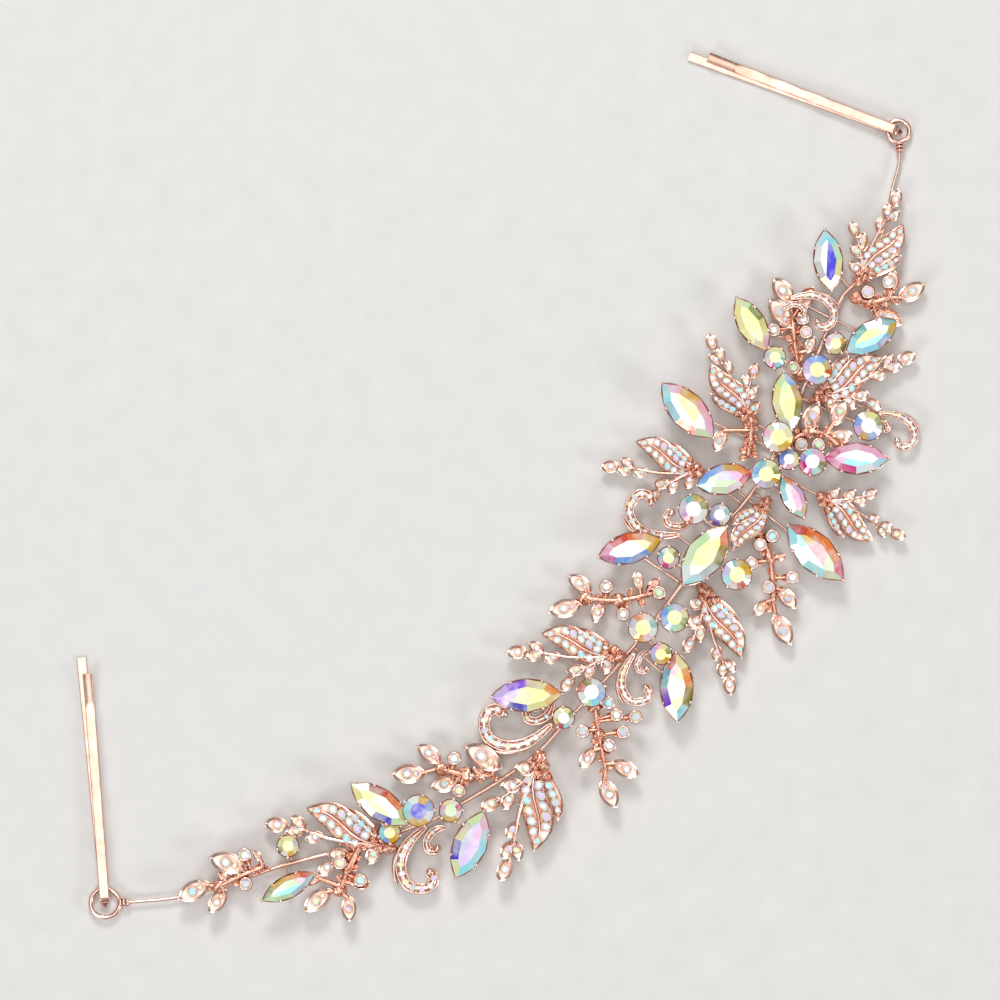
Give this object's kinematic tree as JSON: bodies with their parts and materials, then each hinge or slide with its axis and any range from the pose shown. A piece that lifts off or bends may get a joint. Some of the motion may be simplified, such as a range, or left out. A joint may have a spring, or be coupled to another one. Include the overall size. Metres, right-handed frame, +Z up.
{
  "type": "bridal tiara",
  "caption": "Bridal hair vine tiara: crystal-set leaf sprays, scrolls and beads on a bendable wire with an end loop and a bobby pin at each side.",
  "frame": {"origin": "centre of the box at its underside, the plane that the vine lies on", "axes": "+X from the left loop to the right loop, +Y to the hollow side of the crescent, +Z up from the back to the crystals' tables"},
  "size_m": [0.2362, 0.1032, 0.0102],
  "materials": {
    "rose_gold_plate": "polished",
    "plated_spring_steel": "polished",
    "crystal": "polished"
  },
  "bodies": {
    "band": {"base_wire": "rose_gold_plate", "leaf_spray_01": "rose_gold_plate", "leaf_spray_02": "rose_gold_plate", "leaf_spray_03": "rose_gold_plate", "leaf_spray_04": "rose_gold_plate", "leaf_spray_05": "rose_gold_plate", "leaf_spray_06": "rose_gold_plate", "leaf_spray_07": "rose_gold_plate", "leaf_spray_08": "rose_gold_plate", "leaf_spray_09": "rose_gold_plate", "scroll_01": "rose_gold_plate", "scroll_02": "rose_gold_plate", "scroll_03": "rose_gold_plate", "scroll_04": "rose_gold_plate", "scroll_05": "rose_gold_plate", "scroll_06": "rose_gold_plate", "bead_sprig_02": "rose_gold_plate", "bead_sprig_03": "rose_gold_plate", "bead_sprig_04": "rose_gold_plate", "bead_sprig_05": "rose_gold_plate", "bead_sprig_06": "rose_gold_plate", "bead_sprig_07": "rose_gold_plate", "bead_sprig_08": "rose_gold_plate", "navette_crystal_01": "crystal", "navette_crystal_02": "crystal", "navette_crystal_03": "crystal", "navette_crystal_04": "crystal", "navette_crystal_05": "crystal", "navette_crystal_06": "crystal", "navette_crystal_07": "crystal", "navette_crystal_08": "crystal", "navette_crystal_09": "crystal", "navette_crystal_10": "crystal", "navette_crystal_11": "crystal", "navette_crystal_12": "crystal", "navette_crystal_13": "crystal", "navette_crystal_14": "crystal", "navette_crystal_15": "crystal", "round_crystal_01": "crystal", "round_crystal_02": "crystal", "round_crystal_03": "crystal", "round_crystal_04": "crystal", "round_crystal_05": "crystal", "round_crystal_06": "crystal", "round_crystal_07": "crystal", "round_crystal_08": "crystal", "round_crystal_09": "crystal", "round_crystal_10": "crystal", "round_crystal_11": "crystal"},
    "left_end": {"left_end_wire": "rose_gold_plate", "bead_sprig_01": "rose_gold_plate"},
    "right_end": {"right_end_wire": "rose_gold_plate", "leaf_spray_10": "rose_gold_plate", "bead_sprig_09": "rose_gold_plate", "navette_crystal_16": "crystal"},
    "left_pin": {"left_pin_lower_leg": "plated_spring_steel"},
    "left_pin_leg": {"left_pin_upper_leg": "plated_spring_steel"},
    "right_pin": {"right_pin_lower_leg": "plated_spring_steel"},
    "right_pin_leg": {"right_pin_upper_leg": "plated_spring_steel"}
  },
  "joints": [
    {"name": "left_end_bend", "type": "hinge", "parent": "band", "child": "left_end", "pos_m": [-0.08213, -0.01085, 0.0011], "axis": [-0.493, -0.87, 0], "range_deg": [0, 30]},
    {"name": "right_end_bend", "type": "hinge", "parent": "band", "child": "right_end", "pos_m": [0.08238, -0.00715, 0.0011], "axis": [-0.3162, 0.9487, 0], "range_deg": [0, 30]},
    {"name": "left_pin_swing", "type": "hinge", "parent": "left_end", "child": "left_pin", "pos_m": [-0.11463, 0.00965, 0.0011], "axis": [0, 0, 1], "range_deg": [-35, 170]},
    {"name": "right_pin_swing", "type": "hinge", "parent": "right_end", "child": "right_pin", "pos_m": [0.11538, 0.00965, 0.0011], "axis": [0, 0, 1], "range_deg": [-170, 35]},
    {"name": "left_pin_open", "type": "hinge", "parent": "left_pin", "child": "left_pin_leg", "pos_m": [-0.114, 0.01043, 0.0011], "axis": [0.7683, -0.6401, 0], "range_deg": [0, 8], "stiffness_Nm_per_rad": 0.1},
    {"name": "right_pin_open", "type": "hinge", "parent": "right_pin", "child": "right_pin_leg", "pos_m": [0.11494, 0.01055, 0.0011], "axis": [0.91, 0.4147, 0], "range_deg": [0, 8], "stiffness_Nm_per_rad": 0.1}
  ]
}
